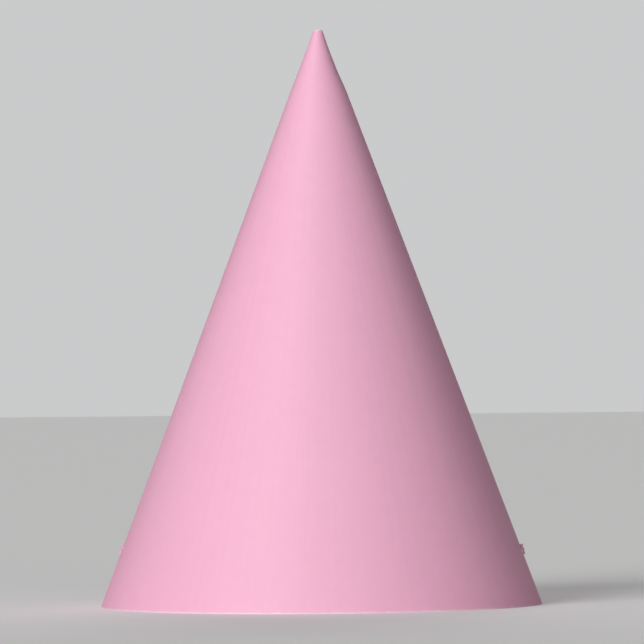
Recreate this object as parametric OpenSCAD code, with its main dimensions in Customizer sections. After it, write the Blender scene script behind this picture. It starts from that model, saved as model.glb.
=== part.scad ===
// Cone party hat: a card blank rolled into a cone and taped at the back, with a chin
// elastic knotted through a hole at each side. Millimetres, +Z up, origin at the centre
// of the rim, front towards -Y, seam at +Y, holes at -X and +X.

/* [Cone] */
// Outer diameter of the cone at the rim
rim_d = 136; // [132:1:150]
// Height from the rim to the point
hat_h = 178; // [160:1:220]
// Outer diameter of the blunt point
point_d = 2.5; // [1.8:0.1:3.5]
// Thickness of the card
card_t = 0.4; // [0.3:0.05:0.5]

/* [Seam] */
// Width of the flap that the seam's outer edge lies on
flap_w = 10; // [9:0.5:12]
// Width of the double-sided tape on the flap
tape_w = 6; // [4:0.5:7]
// Thickness of the tape
tape_t = 0.14; // [0.1:0.01:0.2]

/* [Elastic] */
// Diameter of the covered elastic
cord_d = 0.7; // [0.6:0.1:1]
// Diameter of the punched holes
hole_d = 2; // [1.6:0.1:2.4]
// Height of the holes' centres above the rim
hole_z = 17.5; // [16:0.5:18]
// Diameter of the knots
knot_d = 2.4; // [2.4:0.1:3]
// How far the knots stand proud of the card
knot_h = 1; // [0.9:0.1:1.2]
// Length of the cut tail below each knot's centre
tail_l = 2.8; // [2:0.1:6]

/* [Hidden] */
$fn = 180;

card_colour = [0.95, 0.71, 0.82];
tape_colour = [0.93, 0.93, 0.9];
elastic_colour = [0.88, 0.62, 0.74];

// The cone's slope, and the card's and the seam's sizes measured level
rim_r = rim_d / 2;
slope = (rim_r - point_d / 2) / hat_h;
cone_angle = atan(slope);
wall_w = card_t / cos(cone_angle);
tape_clear = 0.01;
past = 1;  // how far a cutting shape runs past what it cuts
lap_w = tape_t / cos(cone_angle) + 2 * tape_clear;
flap_in = 2 * wall_w + lap_w;

// The seam's cut line, the step where the card dives under it, and the flap's outline
seam_gap = 0.15;
step_w = 1.2;
flap_shoulder = 46;  // below the point, where the flap starts to narrow
flap_end = 12;       // below the point, where the flap stops
flap_end_w = 2.5;
tape_side = 2;       // from the seam's edge to the tape
tape_foot = 4;       // from the rim to the tape
tape_head = 52;      // below the point, where the tape stops

// Elastic: a hole's centre on the outer face, and the direction out of it
hole_at = [rim_r - slope * hole_z, 0, hole_z];
hole_out = [cos(cone_angle), 0, sin(cone_angle)];
hole_r = hole_d / 2;
cord_r = cord_d / 2;
knot_r = knot_d / 2;
tail_lift = cord_r + 0.05;  // the tail just clears the card

// The elastic's route from the left hole to the right one. It drops to the surface that
// the hat stands on and lies there in an S, in three passes inside the rim.
lie_z = 0.5;
route = [
    [-58.5, 0, 15.8], [-55.5, -0.5, 13.2], [-53.5, -1.5, 9], [-52.5, -3, 5],
    [-51.5, -5.5, 1.6], [-50, -10, lie_z],
    [-46, -20, lie_z], [-37, -31, lie_z], [-24, -39, lie_z], [-9, -42, lie_z],
    [7, -41, lie_z], [22, -36, lie_z], [33, -28, lie_z], [38, -18, lie_z],
    [35, -8, lie_z], [26, -3, lie_z], [14, -3, lie_z], [1, -6, lie_z],
    [-12, -7, lie_z], [-24, -4, lie_z], [-33, 4, lie_z], [-35, 14, lie_z],
    [-30, 23, lie_z], [-20, 29, lie_z], [-6, 32, lie_z], [9, 33, lie_z],
    [24, 31, lie_z], [37, 25, lie_z], [46, 16, lie_z], [50.5, 9, lie_z],
    [52, 5, 1.6], [53, 2.5, 5], [54, 1, 9], [56, 0.5, 13.2], [58.5, 0, 15.8]];
rings_per_span = 2;
cord_sides = 8;

// Distance from the axis to the cone's outer face at a height
function face_r(z) = rim_r - slope * z;

// A ring of the cone's wall, from inset a to inset b and height z0 to z1
module wall_ring(a, b, z0, z1) {
    rotate([0, 0, -90])
        rotate_extrude()
            polygon([[face_r(z0) - b, z0], [face_r(z0) - a, z0],
                     [face_r(z1) - a, z1], [face_r(z1) - b, z1]]);
}

// A prism through the back of the cone, with its outline seen from behind as x and z
module back_prism(outline) {
    translate([0, rim_r + past, 0])
        rotate([90, 0, 0])
            linear_extrude(rim_r + past)
                polygon(outline);
}

// The flap under the seam, with the step that joins it to the wall
module flap() {
    low = -step_w - seam_gap;
    top = hat_h - flap_end;
    intersection() {
        wall_ring(wall_w + lap_w, flap_in, 0, top);
        back_prism([[low, 0], [flap_w, 0], [flap_w, hat_h - flap_shoulder],
                    [flap_end_w, top], [low, top]]);
    }
    intersection() {
        wall_ring(wall_w / 2, flap_in, 0, top);
        back_prism([[low, 0], [-seam_gap, 0], [-seam_gap, top], [low, top]]);
    }
}

// A cylinder through the wall at one side's hole
module hole(side) {
    mirror([side < 0 ? 1 : 0, 0, 0])
        translate(hole_at)
            rotate([0, 90 - cone_angle, 0])
                cylinder(h = 4 * past, r = hole_r, center = true);
}

module card_cone() {
    color(card_colour)
        difference() {
            union() {
                difference() {
                    wall_ring(0, wall_w, 0, hat_h);
                    back_prism([[-seam_gap, -past], [0, -past],
                                [0, hat_h + past], [-seam_gap, hat_h + past]]);
                }
                flap();
            }
            hole(-1);
            hole(1);
        }
}

module seam_tape() {
    color(tape_colour)
        intersection() {
            wall_ring(wall_w + tape_clear, wall_w + lap_w - tape_clear, 0, hat_h);
            back_prism([[tape_side, tape_foot], [tape_side + tape_w, tape_foot],
                        [tape_side + tape_w, hat_h - tape_head], [tape_side, hat_h - tape_head]]);
        }
}

// A knot with a flat back on the card, and its cut tail down the cone
module knot(side) {
    color(elastic_colour)
        mirror([side < 0 ? 1 : 0, 0, 0])
            translate(hole_at)
                rotate([0, 90 - cone_angle, 0]) {
                    rotate_extrude()
                        intersection() {
                            translate([0, knot_h - knot_r])
                                circle(r = knot_r);
                            square([knot_r, knot_h]);
                        }
                    translate([0, 0, tail_lift])
                        rotate([0, 90, 0])
                            cylinder(h = tail_l, r = cord_r);
                }
}

// Catmull-Rom point between b and c, and its neighbours a and d
function between(a, b, c, d, t) =
    0.5 * (2 * b + (c - a) * t + (2 * a - 5 * b + 4 * c - d) * t * t
           + (3 * b - a - 3 * c + d) * t * t * t);

// The tube's centres: from the left knot's back, along the route, to the right one's
function mirrored(p) = [-p[0], p[1], p[2]];
stops = concat([mirrored(hole_at)], route, [hole_at]);
centres = concat(
    [for (i = [0 : len(stops) - 2], k = [0 : rings_per_span - 1])
        between(stops[max(i - 1, 0)], stops[i], stops[i + 1],
                stops[min(i + 2, len(stops) - 1)], k / rings_per_span)],
    [hole_at]);
function unit(v) = v / norm(v);
function heading(i) =
    i == 0 ? mirrored(-hole_out) :
    i == len(centres) - 1 ? hole_out :
    unit(centres[i + 1] - centres[i - 1]);

// One ring of the tube, square to the route and with one corner uppermost
function ring(i) =
    let (ahead = heading(i),
         across = unit(cross(ahead, [0, 0, 1])),
         up = cross(across, ahead))
    [for (k = [0 : cord_sides - 1])
        centres[i] + cord_r * (cos(360 * k / cord_sides) * across
                               + sin(360 * k / cord_sides) * up)];

module elastic_cord() {
    n = len(centres);
    skin = [for (i = [0 : n - 1]) each ring(i)];
    sides = [for (i = [0 : n - 2], k = [0 : cord_sides - 1])
        let (a = i * cord_sides + k, b = i * cord_sides + (k + 1) % cord_sides)
        [a, b, b + cord_sides, a + cord_sides]];
    start = [for (k = [cord_sides - 1 : -1 : 0]) k];
    end = [for (k = [0 : cord_sides - 1]) (n - 1) * cord_sides + k];
    color(elastic_colour)
        polyhedron(points = skin, faces = concat(sides, [start, end]), convexity = 10);
}

card_cone();
seam_tape();
elastic_cord();
knot(-1);  // knot_left
knot(1);  // knot_right
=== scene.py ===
"""Looks of the cone party hat: rolled pink card, its taped seam, the chin elastic and its knots.

Everything is in metres in the frame's own axes: +Z up, front at -Y, seam at +Y, holes at -X and +X.
"""
import math

import bpy
import numpy as np
from mathutils import Matrix, Vector


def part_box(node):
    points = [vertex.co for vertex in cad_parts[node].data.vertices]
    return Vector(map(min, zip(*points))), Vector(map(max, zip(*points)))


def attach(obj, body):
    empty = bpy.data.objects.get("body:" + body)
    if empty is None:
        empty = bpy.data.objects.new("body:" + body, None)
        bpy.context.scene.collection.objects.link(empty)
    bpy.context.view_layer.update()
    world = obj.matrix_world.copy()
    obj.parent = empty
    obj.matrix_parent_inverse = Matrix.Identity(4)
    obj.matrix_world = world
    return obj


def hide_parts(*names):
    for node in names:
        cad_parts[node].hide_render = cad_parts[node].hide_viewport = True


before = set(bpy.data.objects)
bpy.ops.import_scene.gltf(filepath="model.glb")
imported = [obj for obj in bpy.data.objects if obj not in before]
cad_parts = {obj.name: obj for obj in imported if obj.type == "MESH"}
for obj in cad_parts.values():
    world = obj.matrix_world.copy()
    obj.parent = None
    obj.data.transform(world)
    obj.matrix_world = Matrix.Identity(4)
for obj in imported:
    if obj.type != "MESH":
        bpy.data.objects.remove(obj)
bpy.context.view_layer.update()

MM = 0.001
cone_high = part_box("card_cone")[1]

# The rolled card. Hand-rolled, it leans a hair to the right.
SIDE_ROOM = 0.07 * MM  # how far the rim's sides keep inside the frame's cone
OVAL = 0.3 * MM  # how much less deep the rim is than wide, from the middle
HALF_WIDTH = cone_high.x - SIDE_ROOM
HALF_DEPTH = HALF_WIDTH - OVAL
HEIGHT = cone_high.z
LEAN = 0.5 * MM
POINT_RADIUS = 1.25 * MM
CARD_T = 0.4 * MM
APEX = Vector((LEAN, 0, HEIGHT * HALF_WIDTH / (HALF_WIDTH - POINT_RADIUS)))
SLANT = math.hypot(APEX.z, HALF_DEPTH)
SPREAD = HALF_WIDTH / SLANT  # plan radius gained for each metre down the slant
CONE_ANGLE = math.asin(SPREAD)

# The seam: tape between the plies, and how the card dives under its own outer edge.
TAPE_T = 0.14 * MM
TAPE_CLEAR = 0.01 * MM
LAP = CARD_T + TAPE_T + 2 * TAPE_CLEAR
TAPE_SIDE = 2 * MM
TAPE_W = 6 * MM
TAPE_FOOT = 4 * MM
TAPE_HEAD = 52 * MM
FLAP_W = 10 * MM
FLAP_END_W = 2.5 * MM
FLAP_SHOULDER = 46 * MM
FLAP_END = 12 * MM
EDGE_GAP = 0.12 * MM
EDGE_CURL = 0.17 * MM
EDGE_CURL_W = 2.6 * MM

# The punched holes and the elastic.
HOLE_R = 1.0 * MM
HOLE_Z = 17.5 * MM
DIMPLE_RIGHT = 0.16 * MM
DIMPLE_LEFT = 0.34 * MM
DIMPLE_R = 2.0 * MM
CORD_D = 0.7 * MM

FULL_TURN = 2 * math.pi
RIGHT_TURN = FULL_TURN / 4
LEFT_TURN = FULL_TURN * 3 / 4


def smooth(t):
    """Smooth step from 0 to 1."""
    t = np.clip(t, 0, 1)
    return t * t * (3 - 2 * t)


# ---------------------------------------------------------------- camera

CAMERA_AT = Vector((0.9 * MM, -1.6, 61.0 * MM))
AIM_AT = Vector((0.9 * MM, 0, 87.2 * MM))
CAMERA_LENS = 290.3
CAMERA_ROLL = math.radians(-0.517)


def make_camera():
    camera = bpy.data.objects.new("camera", bpy.data.cameras.new("camera"))
    bpy.context.scene.collection.objects.link(camera)
    camera.data.lens = CAMERA_LENS
    camera.data.sensor_width = 36
    camera.data.clip_start = 0.05
    camera.data.clip_end = 50
    toward = (AIM_AT - CAMERA_AT).to_track_quat("-Z", "Y").to_matrix().to_4x4()
    camera.matrix_world = Matrix.Translation(CAMERA_AT) @ toward @ Matrix.Rotation(CAMERA_ROLL, 4, "Z")
    bpy.context.scene.camera = camera


make_camera()


# ---------------------------------------------------------------- mesh helpers

def mesh_object(name, points, faces, materials, face_material=None, sharp_angle=None):
    """A smooth-shaded mesh object from points, faces and a material for each face."""
    mesh = bpy.data.meshes.new(name)
    mesh.from_pydata([tuple(p) for p in points], [], faces)
    for material in materials:
        mesh.materials.append(material)
    if face_material is not None:
        mesh.polygons.foreach_set("material_index", face_material)
    mesh.polygons.foreach_set("use_smooth", [True] * len(mesh.polygons))
    if sharp_angle is not None:
        mesh.set_sharp_from_angle(angle=sharp_angle)
    mesh.update()
    piece = bpy.data.objects.new(name, mesh)
    bpy.context.scene.collection.objects.link(piece)
    return piece


def tube(centres, radius, sides, first_point=0):
    """Points and faces of a closed tube; radius is a number or a function of ring and angles."""
    centres = np.asarray(centres, float)
    count = len(centres)
    ahead = np.gradient(centres, axis=0)
    ahead /= np.linalg.norm(ahead, axis=1)[:, None]
    across = np.cross(ahead[0], (0.3, 0.1, 1.0))
    points = []
    angles = np.arange(sides) * FULL_TURN / sides
    for i in range(count):
        across = across - ahead[i] * (across @ ahead[i])
        across /= np.linalg.norm(across)
        up = np.cross(ahead[i], across)
        size = radius(i, angles) if callable(radius) else np.full(sides, radius)
        spokes = np.cos(angles)[:, None] * across + np.sin(angles)[:, None] * up
        points.append(centres[i] + size[:, None] * spokes)
    points = np.concatenate(points)
    faces = []
    for i in range(count - 1):
        for k in range(sides):
            a, b = i * sides + k, i * sides + (k + 1) % sides
            corners = (a, b, b + sides, a + sides)
            faces.append(tuple(first_point + corner for corner in corners))
    faces.append(tuple(first_point + k for k in reversed(range(sides))))
    faces.append(tuple(first_point + (count - 1) * sides + k for k in range(sides)))
    return points, faces


def catmull_rom(stops, steps):
    """Points on a Catmull-Rom curve through stops, with steps points to each span."""
    stops = np.asarray(stops, float)
    last = len(stops) - 1
    found = []
    for i in range(last):
        a, b, c, d = stops[max(i - 1, 0)], stops[i], stops[i + 1], stops[min(i + 2, last)]
        for t in np.arange(steps) / steps:
            found.append(0.5 * (2 * b + (c - a) * t + (2 * a - 5 * b + 4 * c - d) * t ** 2
                                + (3 * b - a - 3 * c + d) * t ** 3))
    found.append(stops[-1])
    return np.array(found)


def evenly(points, step):
    """The same line with its points a step apart."""
    points = np.asarray(points, float)
    run = np.concatenate([[0], np.cumsum(np.linalg.norm(np.diff(points, axis=0), axis=1))])
    at = np.linspace(0, run[-1], max(2, int(round(run[-1] / step)) + 1))
    return np.stack([np.interp(at, run, points[:, k]) for k in range(3)], 1)


# ---------------------------------------------------------------- the shape of the rolled card
#
# A place on the card is a turn, 0 at the seam and a quarter at +X, a slant, the distance down from
# where the cone's lines would meet, and an inset, the depth below the outer face.

RIM_WAVES = ((3, 0.0011, 0.7), (5, 0.0008, 2.1), (9, 0.0004, 0))  # waves in a turn, depth, phase
TUCK = 0.29 * MM


def rim_point(turn):
    """The rim's outer line from the apex: a slightly uneven oval, as hand-rolled card has."""
    uneven = 1
    for waves, depth, phase in RIM_WAVES:
        uneven = uneven + depth * np.sin(waves * turn + phase)
    x = HALF_WIDTH * np.sin(turn)
    y = HALF_DEPTH * np.cos(turn)
    side = np.abs(np.sin(turn)) ** 8  # the holes' sides keep to the frame's outline
    scale = uneven * (1 - side) + side
    x, y = x * scale, y * scale
    return np.stack([x - APEX.x, y, np.full_like(x, -APEX.z)], -1)


def tuck(turn, slant):
    """The point is rolled a little tighter than the straight cone, most of all at its right."""
    # In millimetres down the slant: none past 25, whole from 16, and easing off again above 9.5.
    down = slant / MM
    eased = 0.5 + 0.5 * smooth((down - 3.5) / 6)
    return TUCK * smooth((25 - down) / 9) * eased * (1 + 0.4 * np.sin(turn))


def card_point(turn, slant, inset):
    """The point in space of a place on the card."""
    turn, slant, inset = np.broadcast_arrays(turn, slant, inset)
    inset = inset + tuck(turn, slant)
    # Both corners of the rim stand on the floor.
    slant = slant * (1 - inset * math.tan(CONE_ANGLE) / SLANT)
    line = rim_point(turn) / SLANT
    step = 1e-3
    along = rim_point(turn + step) - rim_point(turn - step)
    out = np.cross(line, along)
    out /= np.linalg.norm(out, axis=-1)[..., None]
    inward = out[..., 0] * line[..., 0] + out[..., 1] * line[..., 1] < 0
    out = np.where(inward[..., None], -out, out)
    return np.array(APEX) + slant[..., None] * line - inset[..., None] * out


def slant_at(z):
    return (APEX.z - z) / APEX.z * SLANT


def plan_radius(slant):
    return SPREAD * slant


# ---------------------------------------------------------------- materials

def material(name, colour, roughness, **sockets):
    """A material, its node tree, and its shader with the uniform values set on its own sockets."""
    made = bpy.data.materials.new(name)
    made.use_nodes = True
    made.diffuse_color = (*colour, 1)
    shader = made.node_tree.nodes["Principled BSDF"]
    shader.inputs["Base Color"].default_value = (*colour, 1)
    shader.inputs["Roughness"].default_value = roughness
    for socket, value in sockets.items():
        shader.inputs[socket.replace("_", " ")].default_value = value
    return made, made.node_tree, shader


def node(tree, kind, **values):
    made = tree.nodes.new(kind)
    for key, value in values.items():
        setattr(made, key, value)
    return made


def noise_node(tree, vector, scale, detail=4, roughness=0.5):
    made = node(tree, "ShaderNodeTexNoise")
    made.inputs["Scale"].default_value = scale
    made.inputs["Detail"].default_value = detail
    made.inputs["Roughness"].default_value = roughness
    tree.links.new(vector, made.inputs["Vector"])
    return made.outputs["Fac"]


def stretched(tree, vector, scale):
    made = node(tree, "ShaderNodeMapping")
    made.inputs["Scale"].default_value = scale
    tree.links.new(vector, made.inputs["Vector"])
    return made.outputs["Vector"]


def math_node(tree, operation, a, b=0.0, c=0.0):
    made = node(tree, "ShaderNodeMath", operation=operation)
    for socket, value in zip(made.inputs, (a, b, c)):
        if isinstance(value, (int, float)):
            socket.default_value = value
        else:
            tree.links.new(value, socket)
    return made.outputs[0]


def mixed_colour(tree, factor, a, b):
    made = node(tree, "ShaderNodeMix", data_type="RGBA")
    tree.links.new(factor, made.inputs["Factor"])
    for socket, value in ((made.inputs[6], a), (made.inputs[7], b)):
        if isinstance(value, tuple):
            socket.default_value = (*value, 1)
        else:
            tree.links.new(value, socket)
    return made.outputs[2]


def between(tree, value, low, high, to_low=0.0, to_high=1.0):
    made = node(tree, "ShaderNodeMapRange")
    for socket, number in zip(made.inputs[1:5], (low, high, to_low, to_high)):
        socket.default_value = number
    tree.links.new(value, made.inputs["Value"])
    return made.outputs["Result"]


def bump(tree, shader, height, strength, distance):
    made = node(tree, "ShaderNodeBump")
    made.inputs["Strength"].default_value = strength
    made.inputs["Distance"].default_value = distance
    tree.links.new(height, made.inputs["Height"])
    tree.links.new(made.outputs["Normal"], shader.inputs["Normal"])


PINK = (0.90, 0.462, 0.628)
WORN = (0.93, 0.79, 0.83)


def card_outside():
    """The coated, printed face: satin pink with the faintest mottle, and painted shade and sheen streaks
    down the cone.
    """
    made, tree, shader = material("pink_coated_card", PINK, 0.48, Specular_IOR_Level=0.42)
    where = node(tree, "ShaderNodeTexCoord").outputs["Object"]
    split = node(tree, "ShaderNodeSeparateXYZ")
    tree.links.new(where, split.inputs[0])
    x, y, z = split.outputs

    # Painted shade and sheen streaks follow the cone's straight lines: they depend on the turn alone, and
    # hardly on height.
    turn = math_node(tree, "ARCTAN2", x, y)
    joined = node(tree, "ShaderNodeCombineXYZ")
    tree.links.new(turn, joined.inputs[0])
    tree.links.new(math_node(tree, "MULTIPLY", z, 1.6), joined.inputs[1])
    painted_sheen_streaks = noise_node(tree, stretched(tree, joined.outputs[0], (26, 1, 1)), 1.0, 5, 0.62)
    mottle = noise_node(tree, where, 240, 5, 0.6)
    cloud = noise_node(tree, where, 22, 3, 0.5)

    light = tuple(min(1, c * 1.02) for c in PINK)
    dark = (PINK[0] * 0.98, PINK[1] * 0.968, PINK[2] * 0.974)
    # The tone mixes these painted shade and sheen streaks with the card's random mottle and cloud.
    tone = math_node(tree, "MULTIPLY_ADD", painted_sheen_streaks, 0.45, math_node(tree, "MULTIPLY", cloud, 0.25))
    tone = math_node(tree, "MULTIPLY_ADD", mottle, 0.30, tone)
    tone = between(tree, tone, 0.38, 0.62)
    colour = mixed_colour(tree, tone, dark, light)

    # Handling has rubbed the coating to white along the very edge of the rim.
    fray = noise_node(tree, where, 420, 4, 0.7)
    edge = math_node(tree, "MULTIPLY_ADD", fray, 1.0 * MM, z)
    edge = between(tree, edge, 0.62 * MM, 1.05 * MM, 0.6, 0.0)
    colour = mixed_colour(tree, edge, colour, WORN)

    # So it has along the seam's free edge and round the cut point.
    plan = node(tree, "ShaderNodeVectorMath", operation="LENGTH")
    flat = node(tree, "ShaderNodeCombineXYZ")
    tree.links.new(x, flat.inputs[0])
    tree.links.new(y, flat.inputs[1])
    tree.links.new(flat.outputs[0], plan.inputs[0])
    arc = math_node(tree, "MULTIPLY", turn, plan.outputs["Value"])
    worn = math_node(tree, "MULTIPLY_ADD", fray, -0.5 * MM, arc)
    worn = between(tree, worn, -0.18 * MM, 0.04 * MM, 0.85, 0.0)
    worn = math_node(tree, "MULTIPLY", worn, math_node(tree, "GREATER_THAN", arc, -0.02 * MM))
    colour = mixed_colour(tree, worn, colour, WORN)
    point = math_node(tree, "MULTIPLY_ADD", fray, 1.6 * MM, z)
    point = between(tree, point, HEIGHT - 0.75 * MM, HEIGHT + 0.4 * MM, 0.0, 0.7)
    colour = mixed_colour(tree, point, colour, WORN)
    tree.links.new(colour, shader.inputs["Base Color"])

    # The board's felt side shows through the coating as a very fine grain.
    grain = noise_node(tree, where, 900, 5, 0.65)
    tree.links.new(between(tree, grain, 0.3, 0.7, 0.43, 0.54), shader.inputs["Roughness"])
    waves = math_node(tree, "MULTIPLY_ADD", mottle, 1.4, grain)
    bump(tree, shader, waves, 0.5, 0.00006)
    return made


def card_inside():
    """The uncoated back of the board: warm white, matt, with pulp flecks."""
    made, tree, shader = material("uncoated_card_back", (0.80, 0.77, 0.72), 0.93, Specular_IOR_Level=0.2)
    where = node(tree, "ShaderNodeTexCoord").outputs["Object"]
    pulp = noise_node(tree, where, 520, 6, 0.7)
    cloud = noise_node(tree, where, 40, 3, 0.5)
    tone = math_node(tree, "MULTIPLY_ADD", pulp, 0.6, math_node(tree, "MULTIPLY", cloud, 0.4))
    tone = between(tree, tone, 0.38, 0.62)
    colour = mixed_colour(tree, tone, (0.755, 0.725, 0.675), (0.845, 0.815, 0.765))
    fleck = between(tree, noise_node(tree, where, 900, 2, 0.4), 0.70, 0.76)
    colour = mixed_colour(tree, fleck, colour, (0.63, 0.585, 0.52))
    tree.links.new(colour, shader.inputs["Base Color"])
    bump(tree, shader, pulp, 0.45, 0.00006)
    return made


def card_core():
    """The cut edge, where the board's layers show."""
    made, tree, shader = material("cut_card_edge", (0.88, 0.78, 0.78), 0.9, Specular_IOR_Level=0.2)
    where = node(tree, "ShaderNodeTexCoord").outputs["Object"]
    fibre = noise_node(tree, where, 2600, 5, 0.7)
    tone = between(tree, fibre, 0.35, 0.65)
    colour = mixed_colour(tree, tone, (0.83, 0.70, 0.72), (0.93, 0.86, 0.86))
    tree.links.new(colour, shader.inputs["Base Color"])
    bump(tree, shader, fibre, 0.5, 0.00005)
    return made


def tape_film():
    """Thin double-sided tape, milky and slightly glossy."""
    made, tree, shader = material("double_sided_tape", (0.84, 0.83, 0.78), 0.32, Specular_IOR_Level=0.5)
    where = node(tree, "ShaderNodeTexCoord").outputs["Object"]
    haze = noise_node(tree, where, 300, 4, 0.6)
    tone = between(tree, haze, 0.35, 0.65)
    colour = mixed_colour(tree, tone, (0.80, 0.79, 0.73), (0.88, 0.87, 0.83))
    tree.links.new(colour, shader.inputs["Base Color"])
    tree.links.new(between(tree, haze, 0.3, 0.7, 0.26, 0.42), shader.inputs["Roughness"])
    return made


def elastic_yarn():
    """The textured yarn wound over the rubber core."""
    made, tree, shader = material("pink_elastic_yarn", (0.80, 0.42, 0.56), 0.82, Specular_IOR_Level=0.3,
                                  Sheen_Weight=0.35, Sheen_Roughness=0.4)
    where = node(tree, "ShaderNodeTexCoord").outputs["Object"]
    yarn = noise_node(tree, where, 3200, 4, 0.65)
    tint = noise_node(tree, where, 700, 3, 0.5)
    tone = math_node(tree, "MULTIPLY_ADD", yarn, 0.6, math_node(tree, "MULTIPLY", tint, 0.4))
    tone = between(tree, tone, 0.36, 0.64)
    colour = mixed_colour(tree, tone, (0.68, 0.32, 0.45), (0.90, 0.53, 0.66))
    tree.links.new(colour, shader.inputs["Base Color"])
    bump(tree, shader, yarn, 0.5, 0.00004)
    return made


OUTSIDE = card_outside()
INSIDE = card_inside()
CORE = card_core()
TAPE = tape_film()
YARN = elastic_yarn()


# ---------------------------------------------------------------- the elastic

LEFT_HOLE = Vector(card_point(LEFT_TURN, slant_at(HOLE_Z), 0))
RIGHT_HOLE = Vector(card_point(RIGHT_TURN, slant_at(HOLE_Z), 0))
LIE_Z = 0.0005
# From the left hole down to the surface that the hat stands on, three passes in an S, and up again.
ROUTE = [
    (-0.0585, 0, 0.0158), (-0.0555, -0.0005, 0.0132), (-0.0535, -0.0015, 0.009), (-0.0525, -0.003, 0.005),
    (-0.0515, -0.0055, 0.0016), (-0.050, -0.010, LIE_Z),
    (-0.046, -0.020, LIE_Z), (-0.037, -0.031, LIE_Z), (-0.024, -0.039, LIE_Z), (-0.009, -0.042, LIE_Z),
    (0.007, -0.041, LIE_Z), (0.022, -0.036, LIE_Z), (0.033, -0.028, LIE_Z), (0.038, -0.018, LIE_Z),
    (0.035, -0.008, LIE_Z), (0.026, -0.003, LIE_Z), (0.014, -0.003, LIE_Z), (0.001, -0.006, LIE_Z),
    (-0.012, -0.007, LIE_Z), (-0.024, -0.004, LIE_Z), (-0.033, 0.004, LIE_Z), (-0.035, 0.014, LIE_Z),
    (-0.030, 0.023, LIE_Z), (-0.020, 0.029, LIE_Z), (-0.006, 0.032, LIE_Z), (0.009, 0.033, LIE_Z),
    (0.024, 0.031, LIE_Z), (0.037, 0.025, LIE_Z), (0.046, 0.016, LIE_Z), (0.0505, 0.009, LIE_Z),
    (0.052, 0.005, 0.0016), (0.053, 0.0025, 0.005), (0.054, 0.001, 0.009), (0.056, 0.0005, 0.0132),
    (0.0585, 0, 0.0158)]
CORD_SIDES = 14
CORD_RING = 0.22 * MM
BRAID_PITCH = 1.6 * MM
BRAID_STRANDS = 4
BRAID_RELIEF = 0.045
THIN_END = 0.4 * MM
THIN_FADE = 2.2 * MM
STRAND = 0.29 * MM  # the elastic's radius where it is drawn thin beside its knots


def braided(run, angles, radius):
    """The radius of a covered elastic: two sets of yarn cross round the core in a fine braid."""
    wound = run * FULL_TURN / BRAID_PITCH
    over = np.cos(BRAID_STRANDS * angles + wound) + np.cos(BRAID_STRANDS * angles - wound)
    return radius * (1 - BRAID_RELIEF + BRAID_RELIEF * over / 2)


def make_elastic():
    """The elastic as one tube along its route, with its line and its length."""
    line = evenly(catmull_rom([LEFT_HOLE, *ROUTE, RIGHT_HOLE], 12), CORD_RING)
    length = float(np.linalg.norm(np.diff(line, axis=0), axis=1).sum())

    def radius(ring, angles):
        to_end = min(ring, len(line) - 1 - ring) * CORD_RING
        full = STRAND + (CORD_D / 2 - STRAND) * float(smooth((to_end - THIN_END) / THIN_FADE))
        return braided(ring * CORD_RING, angles, full)

    points, faces = tube(line, radius, CORD_SIDES)
    elastic = mesh_object("chin_elastic", points, faces, [YARN])
    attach(elastic, "root")
    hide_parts("elastic_cord")
    return elastic, line, length


elastic, elastic_line, elastic_length = make_elastic()


# ---------------------------------------------------------------- the knots
#
# A knot is a chain of points that keep their spacing and are pushed apart where they come closer than
# the elastic is thick. It is tied loosely, drawn tight by its ends, then set over its hole with its tail
# hanging down the card. Its own axes are level, down the card, and out of it, in millimetres.

KNOT_POINTS = 110
KNOT_GAP = 0.42  # spacing of the points, in strand radii
KNOT_TAIL = 26  # points of the chain that hang as a tail before it is cut
CORE_REACH = 22  # points each side of the chain's middle that make the knot's core
START_LIFT = 1.15  # how high over the card the chain is let down from
NEIGHBOURS = 7  # points nearer than this along the chain aren't pushed apart
TYING_STEPS = 1100
SEATING_STEPS = 900
KNOT_RING = 0.075 * MM
KNOT_SIDES = 14
PINNED_AT = 1.25  # how far down the hole the chain is held
NO_FLOOR = -9
SPLAY = 0.22  # how much thicker the cut end is, as a share
SPLAY_RINGS = 5
YARNS = 9
YARN_R = 0.035 * MM
KNOT_CLEAR = 0.04  # between a strand and the card
NECK = 0.3  # how far down the hole the knot's own strand starts


def relax(line, radius, steps, nudge, floor, stiffness):
    """The chain after steps of nudging it, mending its spacing, straightening it and parting it."""
    gap = KNOT_GAP * radius
    i, j = np.triu_indices(len(line), NEIGHBOURS)
    for _ in range(steps):
        nudge(line)
        for _ in range(5):
            for first in (0, 1):
                ahead = line[first + 1::2] - line[first:-1:2]
                long = np.linalg.norm(ahead, axis=1)[:, None]
                move = 0.5 * (long - gap) / long * ahead
                line[first:-1:2] += move
                line[first + 1::2] -= move
        line[1:-1] += stiffness * (0.5 * (line[:-2] + line[2:]) - line[1:-1])
        for _ in range(2):
            apart = line[j] - line[i]
            far = np.sqrt(np.einsum("ij,ij->i", apart, apart))
            hit = far < 2 * radius
            push = (0.25 * (2 * radius - far[hit]) / far[hit])[:, None] * apart[hit]
            np.add.at(line, j[hit], push)
            np.add.at(line, i[hit], -push)
        floor(line)
    return line


def tied(radius):
    """An overhand knot drawn tight along x."""
    t = np.linspace(-2.22, 2.22, 400)
    loose = np.stack([t ** 3 - 3 * t, t ** 4 - 4 * t ** 2, (t ** 5 - 10 * t) / 4], 1)
    run = np.concatenate([[0], np.cumsum(np.linalg.norm(np.diff(loose, axis=0), axis=1))])
    at = np.linspace(0, run[-1], KNOT_POINTS)
    line = np.stack([np.interp(at, run, loose[:, k]) for k in range(3)], 1)
    line *= KNOT_GAP * radius * (KNOT_POINTS - 1) / run[-1]
    line -= line.mean(0)

    def pull(line):
        line[0, 0] -= 0.08 * radius
        line[-1, 0] += 0.08 * radius
        line[[0, -1], 1:] *= 0.9

    return relax(line, radius, TYING_STEPS, pull, lambda line: None, 0.10)


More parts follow.
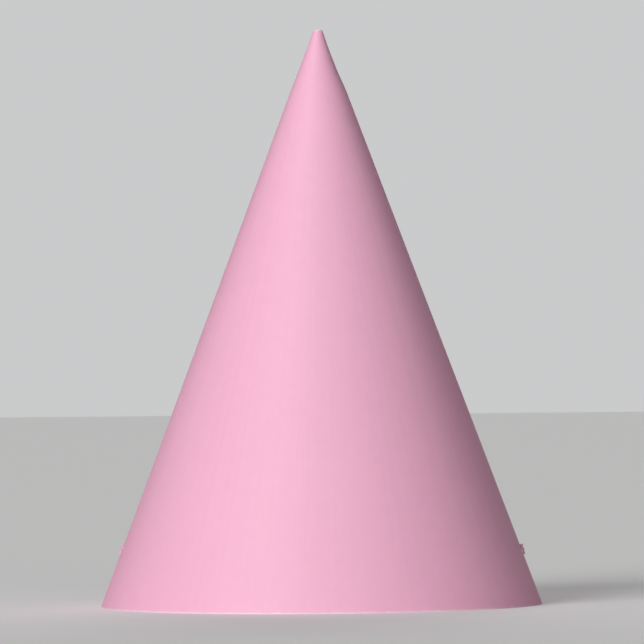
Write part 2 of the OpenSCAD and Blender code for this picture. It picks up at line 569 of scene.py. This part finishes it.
def least_height(line, radius, dimple):
    """How high a strand's centre must be to lie on the dimpled card, with no floor inside the hole."""
    hole = HOLE_R / MM
    away = np.hypot(line[:, 0], line[:, 1])
    rise = np.clip((away - (hole - radius)) / radius, 0, 1)
    least = radius * np.sqrt(1 - (1 - rise) ** 2) - dimple * np.exp(-(away / (DIMPLE_R / MM)) ** 2)
    return np.where(away < hole - radius, NO_FLOOR, least)


def seated(line, radius, dimple, down, height, cut):
    """The tied knot over its hole, its core at down and height, with cut points trimmed off its tail."""
    line = line[:, [2, 1, 0]].copy()
    half = len(line) // 2
    line -= (*line[half - 15:half + 16, :2].mean(0), -START_LIFT)
    line[:, 1] += down
    start = int(np.argmax(line[:, 2] > -height - 0.2))
    line = line[start:-cut]
    middle = half - start
    tail = KNOT_TAIL - cut
    share = np.linspace(0.2, 1, tail)[:, None]

    def nudge(line):
        line[0] = (0, 0.05, -PINNED_AT)
        line[1] = (0, 0.02, -PINNED_AT + KNOT_GAP * radius)
        line[-tail:] += 0.010 * share * np.array([0.02, 0.93, -0.36])
        core = line[middle - CORE_REACH:middle + CORE_REACH]
        core += 0.04 * (np.array([0, down, height]) - core.mean(0))

    def floor(line):
        line[:, 2] = np.maximum(line[:, 2], least_height(line, radius, dimple))

    return relax(line, radius, SEATING_STEPS, nudge, floor, 0.12)


def loose_yarns(cut_end, along, across, over, radius, side, first_point):
    """The ends of yarn that stand out of the cut, as points and faces."""
    points = []
    faces = []
    for k in range(YARNS):
        angle = k * 2.4 + side
        spot = radius * 0.85 * math.sqrt((k + 0.5) / YARNS)
        lean = 0.16 * math.sin(5.1 * k + side) * across + 0.16 * math.cos(3.7 * k) * over
        start = cut_end - 0.05 * MM * along + spot * (math.cos(angle) * across + math.sin(angle) * over)
        reach = (0.14 + 0.10 * (k * 0.618 % 1)) * MM
        yarn = [start + along * reach * t + (lean * t * t + along * 0.05 * t) * reach
                for t in (0, 0.35, 0.7, 1)]
        more, sides = tube(yarn, YARN_R, 6, first_point + len(points))
        points.extend(more)
        faces.extend(sides)
    return points, faces


def make_knot(name, hole, side, radius, dimple, down, height, cut, loosen, flatten, cad_node):
    """A knot outside a hole: seated, spread by loosen, lowered by flatten, and kept off the card."""
    line = seated(tied(radius), radius, dimple, down, height, cut)
    line[:, :2] = (0, down) + loosen * (line[:, :2] - (0, down))
    line[:, 2] *= np.where(line[:, 2] > 0, flatten, 1)
    # The strand further down the hole is the elastic's own end.
    line = evenly(line[int(np.argmax(line[:, 2] > -NECK)):], KNOT_RING / MM)
    # The cut end spreads a little.
    to_end = np.arange(len(line)) - (len(line) - 1)
    thick = radius * (1 + SPLAY * smooth((to_end + SPLAY_RINGS) / SPLAY_RINGS))
    line[:, 2] = np.maximum(line[:, 2], least_height(line, thick + KNOT_CLEAR, dimple))
    line *= MM
    thick *= MM
    radius *= MM
    out = np.array([side * math.cos(CONE_ANGLE), 0, math.sin(CONE_ANGLE)])
    downhill = np.array([side * math.sin(CONE_ANGLE), 0, -math.cos(CONE_ANGLE)])
    level = np.cross(out, downhill)
    world = np.array(hole) + line[:, :1] * level + line[:, 1:2] * downhill + line[:, 2:] * out

    def strand(ring, angles):
        return braided(ring * KNOT_RING, angles, thick[ring])

    points, faces = tube(world, strand, KNOT_SIDES)
    along = world[-1] - world[-4]
    along /= np.linalg.norm(along)
    across = np.cross(along, out)
    over = np.cross(across, along)
    more, sides = loose_yarns(world[-1], along, across, over, radius, side, len(points))
    points = list(points) + more
    knot = mesh_object(name, points, faces + sides, [YARN], sharp_angle=math.radians(50))
    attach(knot, "root")
    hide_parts(cad_node)
    return knot


right_knot = make_knot("right_knot", RIGHT_HOLE, side=1, radius=0.30, dimple=DIMPLE_RIGHT / MM,
                       down=0.15, height=0.27, cut=18, loosen=1.32, flatten=0.85,
                       cad_node="knot_right")
left_knot = make_knot("left_knot", LEFT_HOLE, side=-1, radius=0.28, dimple=DIMPLE_LEFT / MM,
                      down=-0.5, height=0.10, cut=20, loosen=1.3, flatten=0.64,
                      cad_node="knot_left")


# ---------------------------------------------------------------- the card cone

SHARP = math.radians(35)  # edges that bend more than this are creases
MAIN_COLUMNS = 342
EDGE_COLUMNS = (0, 0.003, 0.007, 0.013, 0.021, 0.031, 0.044)  # turns of the columns by the free edge
STEP_COLUMNS = 14
FLAP_COLUMNS = 14
ROWS = 88
BLOCK_COLUMNS = 4  # the grid makes way for each hole's rings, this far each side of its middle
BLOCK_ROWS = 3
HOLE_RINGS = 9
TIP_LOW = 0.55 * MM
# Where the cut across the blank's tip is nearest the apex.
TIP_SLANT = (APEX.z - HEIGHT + TIP_LOW) / APEX.z * SLANT
TIP_FRONT = math.pi - 0.25
TIP_BOW = 1.2  # a hand's cut sags a little more to its ends than a straight one


def tip_slant(turn):
    """The blank's tip is cut straight across, so the rolled point is highest at the front."""
    away = np.abs((turn - TIP_FRONT + math.pi) % FULL_TURN - math.pi)
    return TIP_SLANT / np.cos(np.minimum(away * SPREAD * TIP_BOW, 0.64))


def dive_angle(slant):
    """How far before the seam's edge the card starts to dive, as a turn."""
    return np.maximum(0.09, 1.8 * MM / plan_radius(slant))


def flap_width(slant):
    below_tip = (slant - TIP_SLANT) * APEX.z / SLANT
    run = (below_tip - FLAP_END) / (FLAP_SHOULDER - FLAP_END)
    return FLAP_END_W + (FLAP_W - FLAP_END_W) * np.clip(run, 0, 1)


def card_grid():
    """Turn, slant and inset of every grid point of the outer face, by column and row."""
    q = np.linspace(0, 1, ROWS + 1)
    q = 0.75 * q + 0.25 * q ** 1.6
    columns = MAIN_COLUMNS + STEP_COLUMNS + FLAP_COLUMNS + 1
    rest = np.linspace(0.060, FULL_TURN, MAIN_COLUMNS + 1 - len(EDGE_COLUMNS))
    main = np.concatenate([EDGE_COLUMNS, rest]) / FULL_TURN
    turn = np.zeros((columns, ROWS + 1))
    slant = np.zeros_like(turn)
    inset = np.zeros_like(turn)
    flap_slant = TIP_SLANT + FLAP_END * SLANT / APEX.z
    flap_row = int(np.searchsorted(tip_slant(0) + (SLANT - tip_slant(0)) * q, flap_slant))
    for i in range(columns):
        part = main[min(i, MAIN_COLUMNS)]
        near = (FULL_TURN - dive_angle(TIP_SLANT)) * part
        slant[i] = tip_slant(near) + (SLANT - tip_slant(near)) * q
        dive = dive_angle(slant[i])
        gap = EDGE_GAP / plan_radius(slant[i])
        fade = 1 - smooth((flap_slant - slant[i]) / (5 * MM))
        if i <= MAIN_COLUMNS:
            turn[i] = part * (FULL_TURN - dive)
            # The free edge springs out a little, unevenly along its length.
            from_edge = np.clip(1 - turn[i] * plan_radius(slant[i]) / EDGE_CURL_W, 0, 1)
            uneven = 0.75 + 0.2 * np.sin(slant[i] / (17 * MM)) + 0.05 * np.sin(slant[i] / (5 * MM) + 1)
            inset[i] = -EDGE_CURL * uneven * from_edge ** 2 * fade
        elif i <= MAIN_COLUMNS + STEP_COLUMNS:
            g = (i - MAIN_COLUMNS) / STEP_COLUMNS
            turn[i] = FULL_TURN - dive + g * (dive - gap)
            inset[i] = LAP * smooth(np.full(ROWS + 1, g)) * fade
        else:
            h = (i - MAIN_COLUMNS - STEP_COLUMNS) / FLAP_COLUMNS
            turn[i] = FULL_TURN - gap + h * (flap_width(slant[i]) / plan_radius(slant[i]) + gap)
            inset[i] = LAP
    return turn, slant, inset, flap_row


def hole_ring(turn, slant, loop, centre_turn, centre_slant, rings):
    """Turns and slants of rings from a round hole out to the loop of grid points round it."""
    arc = plan_radius(centre_slant)
    across = np.array([(turn[i, j] - centre_turn) * arc for i, j in loop])
    down = np.array([slant[i, j] - centre_slant for i, j in loop])
    angle = np.arctan2(down, across)
    found = []
    for k in range(rings):
        share = (k / rings) ** 1.5
        p = HOLE_R * np.cos(angle) * (1 - share) + across * share
        q = HOLE_R * np.sin(angle) * (1 - share) + down * share
        found.append((centre_turn + p / arc, centre_slant + q))
    return found


def closed_sheet(outer, faces):
    """The outer faces turned outward, with the back and the cut edges that close the sheet.

    The sheet's inner points follow its outer ones, in the same order.
    """
    a, b, c = (outer[[f[k] for f in faces]] for k in range(3))
    facing = np.einsum("ij,ij->i", np.cross(b - a, c - a), a * np.array([1, 1, 0]))
    fronts = [f if facing[n] > 0 else f[::-1] for n, f in enumerate(faces)]
    sides = {}
    for f in fronts:
        for k in range(4):
            sides[(f[k], f[(k + 1) % 4])] = True
    count = len(outer)
    backs = [[v + count for v in reversed(f)] for f in fronts]
    edges = [[q, p, p + count, q + count] for p, q in sides if (q, p) not in sides]
    return fronts, backs, edges


def make_cone():
    """The rolled blank: a grid of places with a ring mesh round each hole, as one closed sheet."""
    turn, slant, inset, flap_row = card_grid()
    columns, rows = turn.shape
    number = -np.ones((columns, rows), int)
    places = []
    centre_slant = slant_at(HOLE_Z)
    blocks = []
    for centre_turn in (RIGHT_TURN, LEFT_TURN):
        ci = int(np.argmin(np.abs(turn[:MAIN_COLUMNS, -8] - centre_turn)))
        cj = int(np.argmin(np.abs(slant[ci] - centre_slant)))
        blocks.append((ci - BLOCK_COLUMNS, ci + BLOCK_COLUMNS, cj - BLOCK_ROWS, cj + BLOCK_ROWS,
                       centre_turn))

    def inside_block(i, j):
        return any(i0 < i < i1 and j0 < j < j1 for i0, i1, j0, j1, _ in blocks)

    first_flap = MAIN_COLUMNS + STEP_COLUMNS + 1
    for i in range(columns):
        for j in range(rows):
            if inside_block(i, j) or (i >= first_flap and j < flap_row):
                continue
            number[i, j] = len(places)
            places.append((turn[i, j], slant[i, j], inset[i, j]))

    faces = []
    for i in range(columns - 1):
        for j in range(rows - 1):
            if any(i0 <= i < i1 and j0 <= j < j1 for i0, i1, j0, j1, _ in blocks):
                continue
            corners = [number[i, j], number[i, j + 1], number[i + 1, j + 1], number[i + 1, j]]
            if min(corners) >= 0:
                faces.append(corners)

    for i0, i1, j0, j1, centre_turn in blocks:
        loop = ([(i, j0) for i in range(i0, i1)] + [(i1, j) for j in range(j0, j1)]
                + [(i, j1) for i in range(i1, i0, -1)] + [(i0, j) for j in range(j1, j0, -1)])
        rings = []
        for turns, slants in hole_ring(turn, slant, loop, centre_turn, centre_slant, HOLE_RINGS):
            rings.append([])
            for t, s in zip(turns, slants):
                rings[-1].append(len(places))
                places.append((t, s, 0.0))
        rings.append([number[i, j] for i, j in loop])
        for inner, outer in zip(rings, rings[1:]):
            for k in range(len(loop)):
                n = (k + 1) % len(loop)
                faces.append([inner[k], inner[n], outer[n], outer[k]])

    places = np.array(places)
    # The knots press the card in round the holes.
    for centre_turn, depth in ((RIGHT_TURN, DIMPLE_RIGHT), (LEFT_TURN, DIMPLE_LEFT)):
        across = (places[:, 0] - centre_turn) * plan_radius(centre_slant)
        away = np.hypot(across, places[:, 1] - centre_slant)
        places[:, 2] += depth * np.exp(-(away / DIMPLE_R) ** 2)

    outer = card_point(places[:, 0], places[:, 1], places[:, 2])
    inner = card_point(places[:, 0], places[:, 1], places[:, 2] + CARD_T)
    points = np.concatenate([outer, inner])

    fronts, backs, edges = closed_sheet(outer, faces)
    kinds = [0] * len(fronts) + [1] * len(backs) + [2] * len(edges)
    cone = mesh_object("pink_card_cone", points, fronts + backs + edges, [OUTSIDE, INSIDE, CORE],
                       kinds, SHARP)
    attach(cone, "root")
    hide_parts("card_cone")


make_cone()


# ---------------------------------------------------------------- the seam's tape

def make_tape():
    """A strip between the plies, following the cone."""
    columns, rows = 8, 70
    top = slant_at(HEIGHT - TAPE_HEAD)
    bottom = slant_at(TAPE_FOOT)
    slant = np.linspace(top, bottom, rows + 1)
    places = []
    for i in range(columns + 1):
        arc = TAPE_SIDE + TAPE_W * i / columns
        for s in slant:
            places.append((arc / plan_radius(s), s))
    places = np.array(places)
    outer = card_point(places[:, 0], places[:, 1], CARD_T + TAPE_CLEAR)
    inner = card_point(places[:, 0], places[:, 1], CARD_T + TAPE_CLEAR + TAPE_T)
    faces = []
    for i in range(columns):
        for j in range(rows):
            a = i * (rows + 1) + j
            faces.append([a, a + 1, a + rows + 2, a + rows + 1])
    fronts, backs, edges = closed_sheet(outer, faces)
    tape = mesh_object("seam_tape_strip", np.concatenate([outer, inner]), fronts + backs + edges,
                       [TAPE], sharp_angle=SHARP)
    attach(tape, "root")
    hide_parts("seam_tape")


make_tape()


# ---------------------------------------------------------------- floor and light

FLOOR_REACH = 40


def make_floor():
    made = material("pale_floor", (0.90, 0.895, 0.89), 0.8, Specular_IOR_Level=0.2)[0]
    corners = [(x * FLOOR_REACH, y * FLOOR_REACH, 0) for x, y in ((-1, -1), (1, -1), (1, 1), (-1, 1))]
    floor = mesh_object("floor", corners, [(0, 1, 2, 3)], [made])


def soft_sun(name, azimuth, elevation, strength, spread, glossy=True):
    """A large far softbox, with angles in degrees; azimuth is from the front towards +X."""
    lamp = bpy.data.lights.new(name, "SUN")
    lamp.energy = strength
    lamp.angle = math.radians(spread)
    light = bpy.data.objects.new(name, lamp)
    light.visible_glossy = glossy
    turn, rise = math.radians(azimuth), math.radians(elevation)
    toward = Vector((math.sin(turn) * math.cos(rise), -math.cos(turn) * math.cos(rise), math.sin(rise)))
    facing = toward.to_track_quat("Z", "Y").to_matrix().to_4x4()
    light.matrix_world = Matrix.Translation(toward * 3) @ facing
    bpy.context.scene.collection.objects.link(light)


def make_light():
    """A key from the front left, a weak front fill, a back light and an overhead softbox."""
    scene = bpy.context.scene
    world = bpy.data.worlds.new("studio")
    scene.world = world
    world.use_nodes = True
    tree = world.node_tree
    room = tree.nodes["Background"]
    room.inputs["Color"].default_value = (1, 1, 1, 1)
    room.inputs["Strength"].default_value = 0.06
    wall = node(tree, "ShaderNodeBackground")
    wall.inputs["Color"].default_value = (0.985, 0.99, 1.0, 1)
    wall.inputs["Strength"].default_value = 0.60
    seen = node(tree, "ShaderNodeLightPath")
    choice = node(tree, "ShaderNodeMixShader")
    tree.links.new(seen.outputs["Is Camera Ray"], choice.inputs[0])
    tree.links.new(room.outputs[0], choice.inputs[1])
    tree.links.new(wall.outputs[0], choice.inputs[2])
    tree.links.new(choice.outputs[0], tree.nodes["World Output"].inputs["Surface"])
    soft_sun("key", -33, 20, 2.08, 30)
    soft_sun("fill", 8, 20, 0.40, 34)
    soft_sun("back", 178, 14, 1.25, 40, glossy=False)
    soft_sun("top", -60, 80, 0.46, 50)
    scene.view_settings.view_transform = "Standard"


make_floor()
make_light()
